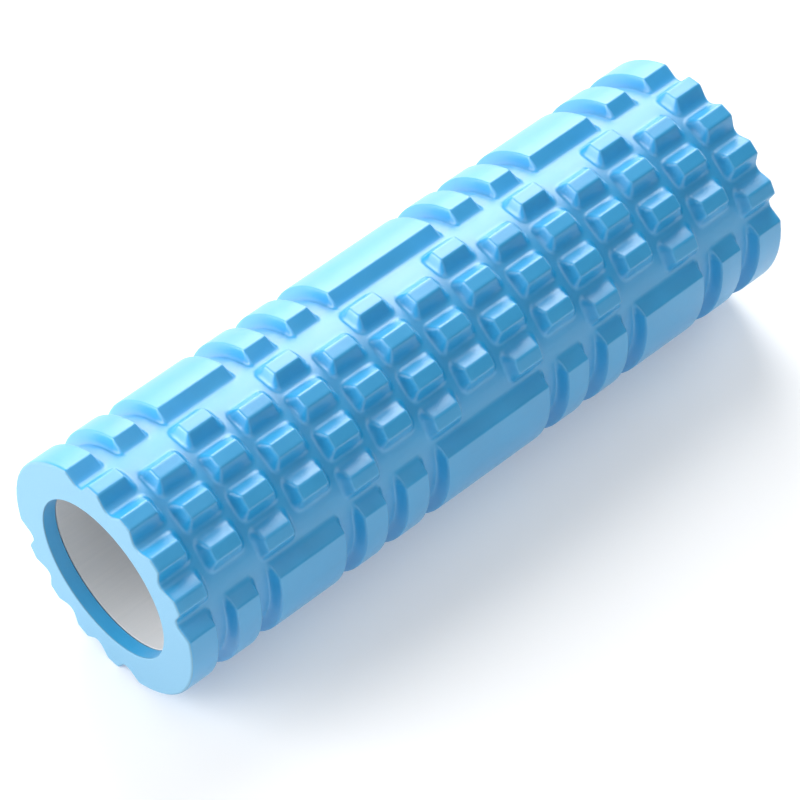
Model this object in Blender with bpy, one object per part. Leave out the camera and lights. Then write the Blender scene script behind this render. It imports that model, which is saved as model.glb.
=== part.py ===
"""Textured foam roller: a moulded EVA foam sleeve on a plastic core tube.

The roller lies along X on the plane Z = 0, and the origin is on that plane under its middle.
Angles round the roller are clock angles: 0 is straight up, and they grow towards -Y.
The relief is two bands of small blocks with two bands of wide pads between them. It repeats
after half a turn, so each block and pad has a twin on the other side.
"""

from math import cos, radians, sin

import bmesh
import bpy

# Sleeve
LENGTH = 0.300
CREST_RADIUS = 0.050  # the corners of the blocks and the tops of the pads
RELIEF_DEPTH = 0.0050
FLOOR_RADIUS = CREST_RADIUS - RELIEF_DEPTH  # the bottom of the grooves
LIP_RADIUS = 0.034  # the sleeve's opening at each end
LIP_DEPTH = 0.006  # how much foam lies over each end of the tube

# Relief along the axis: columns of blocks, and pads that span one, two or three columns
COLUMNS = 15
COLUMN_PITCH = 0.0204
PAD_SPANS = (1, 1, 2, 1, 1, 3, 1, 1, 2, 1, 1)

# Relief round the axis, in degrees: every other column holds one block row more
FULL_ROWS = 4
ROW_PITCH = 20.6
PATTERN_REPEAT = 180.0
BAND_TILT = (FULL_ROWS - 1) / 2 * ROW_PITCH  # puts an outer block row straight down

# Each raised shape: length and angle of its top, and how far its sides run out to the groove
BLOCK = {"length": 0.0120, "angle": 6.5, "end_run": 0.0025, "side_run": 5.0}
PAD = {"length": 0.0105, "angle": 82.0, "end_run": 0.0016, "side_run": 5.4}
PAD_ARC_PARTS = 12

# Core tube, seated between the sleeve's two end lips and level with them inside
TUBE_WALL = 0.002
TUBE_RADIUS = LIP_RADIUS + TUBE_WALL
BOND_GAP = 0.0003  # the glue line between tube and sleeve

ROUND_PARTS = 72
SINK = 0.0005  # how far a raised shape reaches down into the sleeve before it is joined
SHARP_ANGLE = 20.0  # degrees: edges that turn by less are shaded smooth
OVERRUN = 0.004  # how far blanks and cutters run past the sleeve's ends
AXIS_HEIGHT = CREST_RADIUS * cos(radians(BLOCK["angle"] / 2))

FOAM_BLUE = (0.22, 0.55, 0.86, 1.0)
TUBE_GREY = (0.62, 0.63, 0.63, 1.0)


def clear_scene():
    for obj in list(bpy.data.objects):
        bpy.data.objects.remove(obj, do_unlink=True)


def new_collection(name):
    collection = bpy.data.collections.new(name)
    bpy.context.scene.collection.children.link(collection)
    return collection


def material(name, colour, roughness):
    made = bpy.data.materials.new(name)
    made.use_nodes = True
    shader = made.node_tree.nodes["Principled BSDF"]
    shader.inputs["Base Color"].default_value = colour
    shader.inputs["Roughness"].default_value = roughness
    shader.inputs["Metallic"].default_value = 0.0
    return made


def on_roller(x, radius, clock):
    """The point at this place along the axis, distance from it and clock angle."""
    turn = radians(clock)
    return (x, -radius * sin(turn), AXIS_HEIGHT + radius * cos(turn))


def object_from(bm, name, collection):
    mesh = bpy.data.meshes.new(name)
    bmesh.ops.recalc_face_normals(bm, faces=bm.faces)
    bm.to_mesh(mesh)
    bm.free()
    obj = bpy.data.objects.new(name, mesh)
    collection.objects.link(obj)
    return obj


def rod(name, radius, length, collection):
    """A solid cylinder along the roller's axis."""
    bm = bmesh.new()
    bmesh.ops.create_cone(
        bm,
        cap_ends=True,
        segments=ROUND_PARTS,
        radius1=radius,
        radius2=radius,
        depth=length,
    )
    obj = object_from(bm, name, collection)
    obj.location = (0, 0, AXIS_HEIGHT)
    obj.rotation_euler = (0, radians(90), 0)
    return obj


def add_raised_shape(bm, x_from, x_to, clock, shape, arc_parts=1):
    """Add a flat-topped shape with sloping sides: a cube wrapped round the sleeve.

    x_from and x_to are the ends of its top. Its slopes carry on down to SINK below the groove.
    """
    cube = bmesh.new()
    bmesh.ops.create_cube(cube, size=2.0)
    if arc_parts > 1:
        along_arc = [e for e in cube.edges if abs(e.verts[0].co.y - e.verts[1].co.y) > 1]
        bmesh.ops.subdivide_edges(cube, edges=along_arc, cuts=arc_parts - 1, use_grid_fill=True)
    run = (RELIEF_DEPTH + SINK) / RELIEF_DEPTH
    for vert in cube.verts:
        top = vert.co.z > 0
        half_angle = shape["angle"] / 2
        start, end = x_from, x_to
        if not top:
            half_angle += shape["side_run"] * run
            start -= shape["end_run"] * run
            end += shape["end_run"] * run
        x = end if vert.co.x > 0 else start
        radius = CREST_RADIUS if top else FLOOR_RADIUS - SINK
        vert.co = on_roller(x, radius, clock + vert.co.y * half_angle)
    mesh = bpy.data.meshes.new("raised_shape")
    cube.to_mesh(mesh)
    cube.free()
    bm.from_mesh(mesh)
    bpy.data.meshes.remove(mesh)


def column_x(column):
    return (column - (COLUMNS - 1) / 2) * COLUMN_PITCH


def top_ends(first, last, top_length):
    """Where a top over these columns starts and ends. At a sleeve end it runs past the end."""
    start = column_x(first) - top_length / 2
    end = column_x(last) + top_length / 2
    if first == 0:
        start = -LENGTH / 2 - OVERRUN / 2
    if last == COLUMNS - 1:
        end = LENGTH / 2 + OVERRUN / 2
    return start, end


def relief_blocks(collection):
    """The small blocks, in rows that shift by half a row from one column to the next."""
    bm = bmesh.new()
    for band in range(2):
        middle = BAND_TILT + band * PATTERN_REPEAT
        for column in range(COLUMNS):
            rows = FULL_ROWS - column % 2
            start, end = top_ends(column, column, BLOCK["length"])
            for row in range(rows):
                clock = middle + (row - (rows - 1) / 2) * ROW_PITCH
                add_raised_shape(bm, start, end, clock, BLOCK)
    return object_from(bm, "block_blanks", collection)


def relief_pads(collection):
    """The wide pads, a quarter turn away from the middle of each block band."""
    bm = bmesh.new()
    for band in range(2):
        middle = BAND_TILT + PATTERN_REPEAT / 2 + band * PATTERN_REPEAT
        first = 0
        for span in PAD_SPANS:
            last = first + span - 1
            start, end = top_ends(first, last, PAD["length"])
            add_raised_shape(bm, start, end, middle, PAD, PAD_ARC_PARTS)
            first = last + 1
    return object_from(bm, "pad_blanks", collection)


def boolean(obj, other, operation):
    modifier = obj.modifiers.new(operation.lower(), "BOOLEAN")
    modifier.operation = operation
    modifier.object = other
    modifier.solver = "EXACT"
    other.hide_render = True
    other.display_type = "WIRE"


def finished(obj, finish):
    """The cut piece as one plain mesh: round faces shaded smooth, real edges kept sharp."""
    depsgraph = bpy.context.evaluated_depsgraph_get()
    mesh = bpy.data.meshes.new_from_object(obj.evaluated_get(depsgraph))
    obj.modifiers.clear()
    obj.data = mesh
    mesh.shade_smooth()
    mesh.set_sharp_from_angle(angle=radians(SHARP_ANGLE))
    mesh.materials.clear()
    mesh.materials.append(finish)
    return obj


def foam_sleeve(parts, cutters, finish):
    """The sleeve: a blank with the relief joined on, cut to length, bored and hollowed."""
    sleeve = rod("foam_sleeve", FLOOR_RADIUS, LENGTH + 2 * OVERRUN, parts)
    boolean(sleeve, relief_blocks(cutters), "UNION")
    boolean(sleeve, relief_pads(cutters), "UNION")
    envelope = rod("length_cutter", CREST_RADIUS * 1.5, LENGTH, cutters)
    boolean(sleeve, envelope, "INTERSECT")
    opening = rod("opening_cutter", LIP_RADIUS, LENGTH + 4 * OVERRUN, cutters)
    boolean(sleeve, opening, "DIFFERENCE")
    seat = rod("seat_cutter", TUBE_RADIUS + BOND_GAP, LENGTH - 2 * LIP_DEPTH, cutters)
    boolean(sleeve, seat, "DIFFERENCE")
    return finished(sleeve, finish)


def core_tube(parts, cutters, finish):
    """The stiff tube that the foam is glued to."""
    tube = rod("core_tube", TUBE_RADIUS, LENGTH - 2 * (LIP_DEPTH + BOND_GAP), parts)
    hollow = rod("hollow_cutter", LIP_RADIUS, LENGTH, cutters)
    boolean(tube, hollow, "DIFFERENCE")
    return finished(tube, finish)


def main():
    clear_scene()
    parts = new_collection("foam_roller")
    cutters = new_collection("cutters")
    foam_sleeve(parts, cutters, material("eva_foam", FOAM_BLUE, 0.45))
    core_tube(parts, cutters, material("core_plastic", TUBE_GREY, 0.5))


main()
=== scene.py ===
"""The looks of the foam roller: a moulded EVA foam sleeve and its plastic core tube."""

import math

import bpy
import numpy as np
from mathutils import Matrix, Vector


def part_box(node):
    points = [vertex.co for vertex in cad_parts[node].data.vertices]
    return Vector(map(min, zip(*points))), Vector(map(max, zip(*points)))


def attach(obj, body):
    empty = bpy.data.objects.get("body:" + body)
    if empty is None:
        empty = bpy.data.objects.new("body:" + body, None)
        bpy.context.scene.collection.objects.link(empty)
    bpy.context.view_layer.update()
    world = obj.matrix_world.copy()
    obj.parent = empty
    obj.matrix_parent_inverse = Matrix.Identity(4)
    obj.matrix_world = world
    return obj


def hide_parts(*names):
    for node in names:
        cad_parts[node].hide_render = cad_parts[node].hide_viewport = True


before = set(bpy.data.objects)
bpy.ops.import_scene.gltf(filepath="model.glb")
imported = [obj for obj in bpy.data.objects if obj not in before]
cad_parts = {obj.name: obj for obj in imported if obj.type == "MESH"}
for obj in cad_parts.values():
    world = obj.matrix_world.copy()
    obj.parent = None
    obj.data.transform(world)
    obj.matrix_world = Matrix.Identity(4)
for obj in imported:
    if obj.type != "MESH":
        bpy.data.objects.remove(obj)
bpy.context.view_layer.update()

# The sizes of both pieces, from their CAD nodes' boxes
sleeve_lo, sleeve_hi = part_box("foam_sleeve")
tube_lo, tube_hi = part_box("core_tube")
HALF_LENGTH = (sleeve_hi[0] - sleeve_lo[0]) / 2
CREST = (sleeve_hi[1] - sleeve_lo[1]) / 2
AXIS_Z = (sleeve_lo[2] + sleeve_hi[2]) / 2
TUBE_RADIUS = (tube_hi[2] - tube_lo[2]) / 2
TUBE_HALF = (tube_hi[0] - tube_lo[0]) / 2
TUBE_WALL = 0.002
LIP_RADIUS = TUBE_RADIUS - TUBE_WALL  # the sleeve's opening, level with the tube's bore
BOND_GAP = 0.0003  # the glue line between tube and sleeve
SEAT_RADIUS = TUBE_RADIUS + BOND_GAP
SEAT_HALF = TUBE_HALF + BOND_GAP

# The relief, as in the CAD: lengths in metres and angles in degrees
DEPTH = 0.005
FLOOR = CREST - DEPTH
COLUMNS = 15
PITCH = 0.0204
PAD_SPANS = (1, 1, 2, 1, 1, 3, 1, 1, 2, 1, 1)
FULL_ROWS = 4
ROW_PITCH = 20.6
BAND_MIDDLES = (30.9, 210.9)
PAD_MIDDLES = (120.9, 300.9)
BLOCK = {"length": 0.0120, "angle": 6.5, "end_run": 0.0025, "side_run": 5.0}
PAD = {"length": 0.0105, "angle": 82.0, "end_run": 0.0016, "side_run": 5.4}
PAST_END = 1.0  # a place along the axis that is well past either end of the sleeve
CHORD_LIMIT = 20  # a block's flat top is worked out no further than this from its middle

# How softly the foam's edges are moulded
CREST_SOFT = 0.0005
FOOT_SOFT = 0.0018
CORNER_POWER = 2.8  # 2 gives cone-shaped corners, and more gives squarer ones
CORNER_ROUND = 0.3  # rounding of a top's corners seen from above, as a part of its side run
END_ROUND = 0.0011
LIP_ROUND = 0.0004
TUBE_EASE = 0.0003

# Mesh lines: millimetres from a column's middle, and degrees round the axis
COLUMN_LINES_MM = (0, 4.9, 5.25, 5.6, 6.0, 6.35, 6.9, 7.4, 7.9, 8.4, 8.9, 9.5, 10.2)
ROW_LINES = (0.7, 1.7)
BEFORE_CREST = 0.65
AFTER_CREST = 0.6
ROUND_FOOT = (-2.6, -1.3, 0, 1.3, 2.6)
PAD_TOP_LINES = 17
TUBE_LINES = 2.5


# ---------------------------------------------------------------- relief


def soft_min(a, b, reach):
    """The smaller of a and b, with the kink where they meet rounded off over reach."""
    mix = np.clip(0.5 + 0.5 * (b - a) / reach, 0, 1)
    return b + (a - b) * mix - reach * mix * (1 - mix)


def soft_max(a, b, reach):
    return -soft_min(-a, -b, reach)


def column_x(column):
    return (column - (COLUMNS - 1) / 2) * PITCH


def turn_from(clock, middle):
    """Degrees from middle to clock, the short way round."""
    return (clock - middle + 180) % 360 - 180


def raised(x, clock, first, last, middle, shape, flat_top):
    """Height above the groove floor of one block or pad over these columns."""
    start = column_x(first) - shape["length"] / 2 - shape["end_run"]
    end = column_x(last) + shape["length"] / 2 + shape["end_run"]
    if first == 0:
        start = -PAST_END
    if last == COLUMNS - 1:
        end = PAST_END
    turn = turn_from(clock, middle)
    foot = shape["angle"] / 2 + shape["side_run"]
    reach = 1 + CORNER_ROUND
    along = np.maximum(reach - np.minimum(x - start, end - x) / shape["end_run"], 0)
    around = np.maximum(reach - (foot - np.abs(turn)) / shape["side_run"], 0)
    drop = (along**CORNER_POWER + around**CORNER_POWER) ** (1 / CORNER_POWER)
    height = (reach - drop) * DEPTH
    top = DEPTH
    if flat_top:
        chord = CREST * math.cos(math.radians(shape["angle"] / 2))
        near_turn = np.clip(turn, -CHORD_LIMIT, CHORD_LIMIT)
        top = chord / np.cos(np.radians(near_turn)) - FLOOR
    height = soft_min(height, top, CREST_SOFT)
    return soft_max(height, 0.0, FOOT_SOFT)


def relief(x, clock):
    """Height of the sleeve's relief at each x and clock angle."""
    height = np.zeros(np.broadcast(x, clock).shape)
    for middle in BAND_MIDDLES:
        for column in range(COLUMNS):
            rows = FULL_ROWS - column % 2
            for row in range(rows):
                at = middle + (row - (rows - 1) / 2) * ROW_PITCH
                block = raised(x, clock, column, column, at, BLOCK, True)
                height = np.maximum(height, block)
    for middle in PAD_MIDDLES:
        first = 0
        for span in PAD_SPANS:
            last = first + span - 1
            pad = raised(x, clock, first, last, middle, PAD, False)
            height = np.maximum(height, pad)
            first = last + 1
    return height


# ---------------------------------------------------------------- meshes


def clock_lines():
    """Clock angles of the mesh lines: close together at each edge of a block or pad.

    Rows shift by half a row from column to column, so the lines repeat every half row.
    """
    step = ROW_PITCH / 2
    crest = BLOCK["angle"] / 2
    from_row = ROW_LINES + (crest - BEFORE_CREST, crest, crest + AFTER_CREST, step / 2)
    lines = []
    for middle in BAND_MIDDLES:
        for period in range(-FULL_ROWS, FULL_ROWS):
            start = middle + period * step
            lines += [start + near for near in from_row]
            lines += [start + step - near for near in from_row[:-1]]
    crest = PAD["angle"] / 2
    foot = crest + PAD["side_run"]
    from_pad = [crest, crest + AFTER_CREST] + [foot + near for near in ROUND_FOOT]
    top = np.linspace(AFTER_CREST - crest, crest - AFTER_CREST, PAD_TOP_LINES)
    for middle in PAD_MIDDLES:
        lines += [middle - near for near in from_pad]
        lines += [middle + near for near in from_pad]
        lines += list(middle + top)
    return np.array(sorted({round(line % 360, 3) for line in lines}))


def length_lines():
    """Places of the mesh lines along the axis, short of the rounded edges at both ends."""
    lines = set()
    for column in range(COLUMNS):
        for step in COLUMN_LINES_MM:
            for side in (-1, 1):
                x = column_x(column) + side * step / 1000
                if abs(x) < HALF_LENGTH - END_ROUND * 1.3:
                    lines.add(round(x, 6))
    return sorted(lines)


def sleeve_rings(clock):
    """Rings of (x, radius at each clock angle) that run once round the sleeve's wall."""
    rings = [(x, FLOOR + relief(x, clock)) for x in length_lines()]
    corner = []
    for angle in np.radians((0, 18, 36, 54, 72, 90)):
        x = HALF_LENGTH - END_ROUND * (1 - math.sin(angle))
        cut = END_ROUND * (1 - math.cos(angle))
        corner.append((x, FLOOR + relief(x, clock) - cut))
    edge = corner[-1][1]
    flat = np.ones_like(clock)
    face = []
    for part in (0.12, 0.5, 0.88):
        face.append((HALF_LENGTH, edge + (LIP_RADIUS + LIP_ROUND - edge) * part))
    for angle in np.radians((0, 30, 60, 90)):
        x = HALF_LENGTH - LIP_ROUND * (1 - math.cos(angle))
        face.append((x, flat * (LIP_RADIUS + LIP_ROUND * (1 - math.sin(angle)))))
    inside = [
        (SEAT_HALF + LIP_ROUND, flat * LIP_RADIUS),
        (SEAT_HALF, flat * (LIP_RADIUS + 0.0001)),
        (SEAT_HALF, flat * SEAT_RADIUS),
    ]
    far_side = corner + face + inside
    near_side = [(-x, radius) for x, radius in reversed(far_side)]
    return rings + far_side + near_side


def tube_rings(clock):
    """Rings round the tube's wall, with both edges of each end eased."""
    flat = np.ones_like(clock)
    end = [
        (TUBE_HALF - TUBE_EASE, flat * TUBE_RADIUS),
        (TUBE_HALF, flat * (TUBE_RADIUS - TUBE_EASE)),
        (TUBE_HALF, flat * (LIP_RADIUS + TUBE_EASE)),
        (TUBE_HALF - TUBE_EASE, flat * LIP_RADIUS),
    ]
    middle = [(part * TUBE_HALF, flat * TUBE_RADIUS) for part in (-0.6, -0.2, 0.2, 0.6)]
    return middle + end + [(-x, radius) for x, radius in reversed(end)]


def wall_mesh(name, rings, clock):
    """A closed ring-shaped skin through the rings, the last joined back to the first."""
    sine, cosine = np.sin(np.radians(clock)), np.cos(np.radians(clock))
    points = []
    for x, radius in rings:
        ring = np.stack((np.full_like(clock, x), -radius * sine, AXIS_Z + radius * cosine), 1)
        points.append(ring)
    count, around = len(rings), len(clock)
    i, j = np.meshgrid(np.arange(count), np.arange(around), indexing="ij")
    i_next, j_next = (i + 1) % count, (j + 1) % around
    corners = (i * around + j, i * around + j_next, i_next * around + j_next, i_next * around + j)
    faces = np.stack(corners, -1).reshape(-1, 4)
    mesh = bpy.data.meshes.new(name)
    mesh.from_pydata(np.concatenate(points).tolist(), [], faces.tolist())
    mesh.validate()
    mesh.shade_smooth()
    obj = bpy.data.objects.new(name, mesh)
    bpy.context.scene.collection.objects.link(obj)
    obj.modifiers.new("even_normals", "WEIGHTED_NORMAL")
    return obj


# ---------------------------------------------------------------- materials


def node(tree, kind, **sockets):
    made = tree.nodes.new(kind)
    for name, value in sockets.items():
        made.inputs[name.replace("_", " ")].default_value = value
    return made


def noise(tree, vector, scale, detail, roughness=0.5):
    made = node(tree, "ShaderNodeTexNoise", Scale=scale, Detail=detail, Roughness=roughness)
    tree.links.new(vector, made.inputs["Vector"])
    return made.outputs["Fac"]


def ramp(tree, source, low, high):
    """Colours from low to high over the middle part of a noise's range."""
    made = tree.nodes.new("ShaderNodeValToRGB")
    for point, place, colour in zip(made.color_ramp.elements, (0.3, 0.7), (low, high)):
        point.position = place
        point.color = colour
    tree.links.new(source, made.inputs["Fac"])
    return made.outputs["Color"]


def bump(tree, height, strength, distance, under=None):
    """A normal roughened by height, on top of an earlier one if given."""
    made = node(tree, "ShaderNodeBump", Strength=strength, Distance=distance)
    tree.links.new(height, made.inputs["Height"])
    if under is not None:
        tree.links.new(under, made.inputs["Normal"])
    return made.outputs["Normal"]


def math_node(tree, operation, first, second=None):
    """A math node on a socket and, if given, a second socket or number."""
    made = tree.nodes.new("ShaderNodeMath")
    made.operation = operation
    tree.links.new(first, made.inputs[0])
    if isinstance(second, bpy.types.NodeSocket):
        tree.links.new(second, made.inputs[1])
    elif second is not None:
        made.inputs[1].default_value = second
    return made.outputs["Value"]


def grey(value):
    return (value, value, value, 1)


def new_material(name):
    made = bpy.data.materials.new(name)
    made.use_nodes = True
    tree = made.node_tree
    return made, tree, tree.nodes["Principled BSDF"]


def foam_material():
    """Closed-cell EVA with the smooth, slightly mottled skin that a mould leaves.

    The two ends are cut through, so there the surface is duller and the colour paler and greyer:
    partly the cut foam's own colour, partly painted light that stands in for the light falling on
    the end faces.
    """
    made, tree, shader = new_material("eva_foam_skin")
    place = tree.nodes.new("ShaderNodeTexCoord").outputs["Object"]
    mottle = noise(tree, place, scale=55, detail=4, roughness=0.6)
    skin = ramp(tree, mottle, (0.008, 0.33, 0.67, 1), (0.013, 0.365, 0.72, 1))
    cells = noise(tree, place, scale=2600, detail=2)
    # Paler, greyer colour of the cut ends: partly the cut foam's own colour, partly painted light
    # for the light falling on the end faces
    pale_cut_foam_and_painted_light = ramp(tree, cells, (0.10, 0.31, 0.48, 1), (0.13, 0.35, 0.53, 1))
    split = tree.nodes.new("ShaderNodeSeparateXYZ")
    tree.links.new(place, split.inputs["Vector"])
    outward = math_node(tree, "ABSOLUTE", split.outputs["X"])
    cut = math_node(tree, "GREATER_THAN", outward, HALF_LENGTH - END_ROUND * 0.5)
    colour = tree.nodes.new("ShaderNodeMix")
    colour.data_type = "RGBA"
    tree.links.new(cut, colour.inputs["Factor"])
    tree.links.new(skin, colour.inputs["A"])
    tree.links.new(pale_cut_foam_and_painted_light, colour.inputs["B"])
    tree.links.new(colour.outputs["Result"], shader.inputs["Base Color"])
    satin = ramp(tree, mottle, grey(0.36), grey(0.43))
    dull = math_node(tree, "MULTIPLY", cut, 0.7)
    tree.links.new(math_node(tree, "MAXIMUM", satin, dull), shader.inputs["Roughness"])
    waves = noise(tree, place, scale=140, detail=3)
    soft = bump(tree, waves, strength=0.15, distance=0.0006)
    fine = bump(tree, cells, strength=0.10, distance=0.0001, under=soft)
    tree.links.new(fine, shader.inputs["Normal"])
    shader.inputs["IOR"].default_value = 1.5
    shader.inputs["Specular IOR Level"].default_value = 1.0
    shader.inputs["Coat Weight"].default_value = 0.4
    shader.inputs["Coat Roughness"].default_value = 0.4
    shader.inputs["Coat IOR"].default_value = 1.6
    return made


def tube_material():
    """Extruded grey plastic, with faint lines along the tube from the die."""
    made, tree, shader = new_material("extruded_plastic")
    place = tree.nodes.new("ShaderNodeTexCoord").outputs["Object"]
    stretch = node(tree, "ShaderNodeMapping", Scale=(6, 220, 220))
    tree.links.new(place, stretch.inputs["Vector"])
    lines = noise(tree, stretch.outputs["Vector"], scale=4, detail=4)
    tint = ramp(tree, lines, (0.60, 0.61, 0.62, 1), (0.63, 0.635, 0.64, 1))
    tree.links.new(tint, shader.inputs["Base Color"])
    tree.links.new(ramp(tree, lines, grey(0.45), grey(0.55)), shader.inputs["Roughness"])
    fine = bump(tree, lines, strength=0.05, distance=0.0001)
    tree.links.new(fine, shader.inputs["Normal"])
    return made


def floor_material():
    """Matt white that also gives off a little light, so that shadows stay soft."""
    made, tree, shader = new_material("white_sweep")
    shader.inputs["Base Color"].default_value = (0.8, 0.8, 0.8, 1)
    shader.inputs["Roughness"].default_value = 0.9
    shader.inputs["Specular IOR Level"].default_value = 0.1
    shader.inputs["Emission Color"].default_value = (1, 1, 1, 1)
    shader.inputs["Emission Strength"].default_value = 0.22
    return made


# ---------------------------------------------------------------- pieces

clock = clock_lines()
sleeve = wall_mesh("moulded_sleeve", sleeve_rings(clock), clock)
sleeve.data.materials.append(foam_material())
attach(sleeve, "root")
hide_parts("foam_sleeve")

tube_clock = np.arange(0, 360, TUBE_LINES)
tube = wall_mesh("tube_wall", tube_rings(tube_clock), tube_clock)
tube.data.materials.append(tube_material())
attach(tube, "root")
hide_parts("core_tube")


# ---------------------------------------------------------------- studio

FLOOR_SIDE = 12
WORLD_STRENGTH = 0.24

# name, direction from the roller's middle, distance, side of the square, power
SOFTBOXES = (
    ("back_light", (0.40, 0.76, 0.36), 1.3, 0.8, 9.5),
    ("upper_back_light", (0.43, 0.46, 0.78), 1.4, 0.7, 9.5),
    ("left_light", (-0.86, 0.45, 0.32), 1.2, 0.9, 17),
    ("far_light", (0.95, 0.20, 0.15), 1.3, 0.7, 7),
    ("top_light", (-0.3, -0.5, 1.0), 1.5, 1.5, 7.5),
    ("front_light", (-0.35, -0.92, 0.20), 1.3, 0.9, 1.0),
)

# A long lens above and in front of the near end, with hardly any roll
CAMERA_LENS = 169.5
CAMERA_POSITION = (-0.6218, -0.7085, 1.1131)
CAMERA_FORWARD = (0.4310, 0.4954, -0.7542)
CAMERA_ROLL = -1.76


def add_floor():
    bpy.ops.mesh.primitive_plane_add(size=FLOOR_SIDE)
    floor = bpy.context.object
    floor.name = "floor"
    floor.data.materials.append(floor_material())


def add_softbox(name, direction, distance, size, power):
    """A square area light that faces the roller's middle from this direction."""
    data = bpy.data.lights.new(name, "AREA")
    data.shape = "SQUARE"
    data.size = size
    data.energy = power
    obj = bpy.data.objects.new(name, data)
    towards = Vector(direction).normalized()
    obj.location = Vector((0, 0, AXIS_Z)) + towards * distance
    obj.rotation_euler = towards.to_track_quat("Z", "Y").to_euler()
    bpy.context.scene.collection.objects.link(obj)


def add_world(strength):
    world = bpy.data.worlds.new("studio")
    world.use_nodes = True
    background = world.node_tree.nodes["Background"]
    background.inputs["Color"].default_value = (1, 1, 1, 1)
    background.inputs["Strength"].default_value = strength
    bpy.context.scene.world = world


def add_camera():
    data = bpy.data.cameras.new("camera")
    data.sensor_width = 36
    data.lens = CAMERA_LENS
    camera = bpy.data.objects.new("camera", data)
    bpy.context.scene.collection.objects.link(camera)
    turn = (-Vector(CAMERA_FORWARD)).to_track_quat("Z", "Y").to_matrix().to_4x4()
    roll = Matrix.Rotation(math.radians(CAMERA_ROLL), 4, "Z")
    camera.matrix_world = Matrix.Translation(CAMERA_POSITION) @ turn @ roll
    bpy.context.scene.camera = camera


add_floor()
add_world(WORLD_STRENGTH)
for softbox in SOFTBOXES:
    add_softbox(*softbox)
add_camera()
bpy.context.scene.view_settings.view_transform = "Standard"
bpy.context.scene.view_settings.look = "None"
